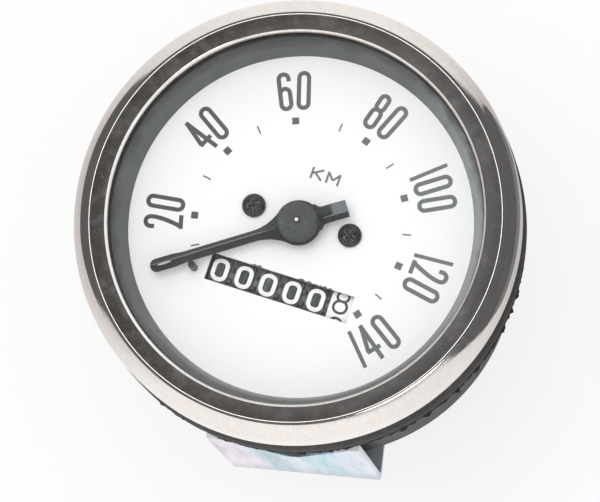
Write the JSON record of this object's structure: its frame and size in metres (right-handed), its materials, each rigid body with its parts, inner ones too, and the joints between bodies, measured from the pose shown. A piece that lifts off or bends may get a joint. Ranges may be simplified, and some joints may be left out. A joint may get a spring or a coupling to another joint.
{
  "type": "motorcycle speedometer",
  "caption": "Round panel speedometer with a white dial, a black pointer and a drum odometer, held in its panel by a U bracket and driven by a cable.",
  "frame": {"origin": "on the dial axis, in the plane of the panel's front face, which the rubber ring rests on", "axes": "+Z out of the dial to the reader, +Y to the top of the dial, +X to the reader's right"},
  "size_m": [0.0864, 0.0876, 0.0732],
  "materials": {
    "chrome": "bright rolled chrome, worn and speckled",
    "glass": "clear flat glass",
    "seal": "thin black seal",
    "spacer": "matte black paint",
    "case_black": "black enamel on drawn steel",
    "ring_rubber": "moulded rubber",
    "zinc": "bright zinc plate with a blue and pink cast",
    "dial_white": "matte white enamel",
    "black_satin": "satin black paint",
    "brass": "turned brass",
    "aluminium": "bare sheet",
    "die_cast": "die-cast zinc alloy",
    "steel": "turned steel",
    "field_steel": "drawn soft steel",
    "magnet_grey": "sintered magnet",
    "bronze": "sintered bronze",
    "drum_black": "black moulded plastic with white numerals",
    "drum_white": "white moulded plastic with black numerals",
    "bulb_glass": "clear bulb"
  },
  "bodies": {
    "root": {"bezel": "chrome", "lens": "glass", "lens_gasket": "seal", "spacer_ring": "spacer", "case": "case_black", "panel_gasket": "ring_rubber", "mounting_bracket": "zinc", "mounting_studs": "steel", "case_washers": "zinc", "case_nuts": "zinc", "bracket_washers": "zinc", "bracket_nuts": "zinc", "lamp_holder": "steel", "lamp_bulb": "bulb_glass", "dial_plate": "dial_white", "dial_screws": "black_satin", "stop_pin": "black_satin", "dial_posts": "brass", "hairspring": "bronze", "spring_lever": "brass", "movement_frame": "die_cast", "upper_bridge": "brass", "bridge_screws": "steel", "upper_bush": "brass", "field_cup": "field_steel", "neck_bush": "bronze", "odometer_frame": "steel", "odometer_screws": "steel", "drum_shaft": "steel", "pinion_shaft": "steel"},
    "pointer_arbor": {"pointer": "black_satin", "pointer_cap": "black_satin", "pointer_spindle": "steel", "speed_cup": "aluminium", "spring_collet": "brass"},
    "drive": {"drive_spindle": "steel", "drive_socket": "steel", "magnet": "magnet_grey", "drive_worm": "brass"},
    "cross": {"cross_shaft": "steel", "cross_wheel": "brass", "cross_worm": "brass"},
    "riser": {"riser_shaft": "steel", "riser_wheel": "brass", "riser_worm": "brass"},
    "tenths": {"tenths_drum": "drum_white", "drum_gear": "brass"},
    "ones": {"ones_drum": "drum_black"},
    "tens": {"tens_drum": "drum_black"},
    "hundreds": {"hundreds_drum": "drum_black"},
    "thousands": {"thousands_drum": "drum_black"},
    "ten_thousands": {"ten_thousands_drum": "drum_black"},
    "pinion_1": {"carry_pinion_1": "brass"},
    "pinion_2": {"carry_pinion_2": "brass"},
    "pinion_3": {"carry_pinion_3": "brass"},
    "pinion_4": {"carry_pinion_4": "brass"},
    "pinion_5": {"carry_pinion_5": "brass"}
  },
  "joints": [
    {"name": "pointer_swing", "type": "hinge", "parent": "root", "child": "pointer_arbor", "pos_m": [0, 0, 0], "axis": [0, 0, -1], "range_deg": [0, 258], "stiffness_Nm_per_rad": 0.00005, "springref_deg": -20.05},
    {"name": "drive_spin", "type": "hinge", "parent": "root", "child": "drive", "pos_m": [0, 0, 0], "axis": [0, 0, -1], "continuous": true},
    {"name": "cross_spin", "type": "hinge", "parent": "root", "child": "cross", "pos_m": [0, 0.0061, -0.03131], "axis": [1, 0, 0], "continuous": true},
    {"name": "riser_spin", "type": "hinge", "parent": "root", "child": "riser", "pos_m": [0.01675, -0.0057, 0], "axis": [0, 0, 1], "continuous": true},
    {"name": "tenths_spin", "type": "hinge", "parent": "root", "child": "tenths", "pos_m": [0, -0.0127, -0.0025], "axis": [-1, 0, 0], "continuous": true},
    {"name": "ones_spin", "type": "hinge", "parent": "root", "child": "ones", "pos_m": [0, -0.0127, -0.0025], "axis": [-1, 0, 0], "continuous": true},
    {"name": "tens_spin", "type": "hinge", "parent": "root", "child": "tens", "pos_m": [0, -0.0127, -0.0025], "axis": [-1, 0, 0], "continuous": true},
    {"name": "hundreds_spin", "type": "hinge", "parent": "root", "child": "hundreds", "pos_m": [0, -0.0127, -0.0025], "axis": [-1, 0, 0], "continuous": true},
    {"name": "thousands_spin", "type": "hinge", "parent": "root", "child": "thousands", "pos_m": [0, -0.0127, -0.0025], "axis": [-1, 0, 0], "continuous": true},
    {"name": "ten_thousands_spin", "type": "hinge", "parent": "root", "child": "ten_thousands", "pos_m": [0, -0.0127, -0.0025], "axis": [-1, 0, 0], "continuous": true},
    {"name": "pinion_1_spin", "type": "hinge", "parent": "root", "child": "pinion_1", "pos_m": [0, -0.02198, -0.00588], "axis": [-1, 0, 0], "continuous": true},
    {"name": "pinion_2_spin", "type": "hinge", "parent": "root", "child": "pinion_2", "pos_m": [0, -0.02198, -0.00588], "axis": [-1, 0, 0], "continuous": true},
    {"name": "pinion_3_spin", "type": "hinge", "parent": "root", "child": "pinion_3", "pos_m": [0, -0.02198, -0.00588], "axis": [-1, 0, 0], "continuous": true},
    {"name": "pinion_4_spin", "type": "hinge", "parent": "root", "child": "pinion_4", "pos_m": [0, -0.02198, -0.00588], "axis": [-1, 0, 0], "continuous": true},
    {"name": "pinion_5_spin", "type": "hinge", "parent": "root", "child": "pinion_5", "pos_m": [0, -0.02198, -0.00588], "axis": [-1, 0, 0], "continuous": true}
  ],
  "couplings": [
    {"joint": "cross_spin", "follows": "drive_spin", "ratio": 0.1},
    {"joint": "riser_spin", "follows": "drive_spin", "ratio": 0.01},
    {"joint": "tenths_spin", "follows": "drive_spin", "ratio": 0.001},
    {"joint": "ones_spin", "follows": "drive_spin", "ratio": 0.0001},
    {"joint": "tens_spin", "follows": "drive_spin", "ratio": 0.00001},
    {"joint": "hundreds_spin", "follows": "drive_spin", "ratio": 0.000001},
    {"joint": "thousands_spin", "follows": "drive_spin", "ratio": 0.0000001},
    {"joint": "ten_thousands_spin", "follows": "drive_spin", "ratio": 0.00000001},
    {"joint": "pinion_1_spin", "follows": "drive_spin", "ratio": -0.000000033333},
    {"joint": "pinion_2_spin", "follows": "drive_spin", "ratio": -0.00000033333},
    {"joint": "pinion_3_spin", "follows": "drive_spin", "ratio": -0.0000033333},
    {"joint": "pinion_4_spin", "follows": "drive_spin", "ratio": -0.000033333},
    {"joint": "pinion_5_spin", "follows": "drive_spin", "ratio": -0.00033333}
  ]
}
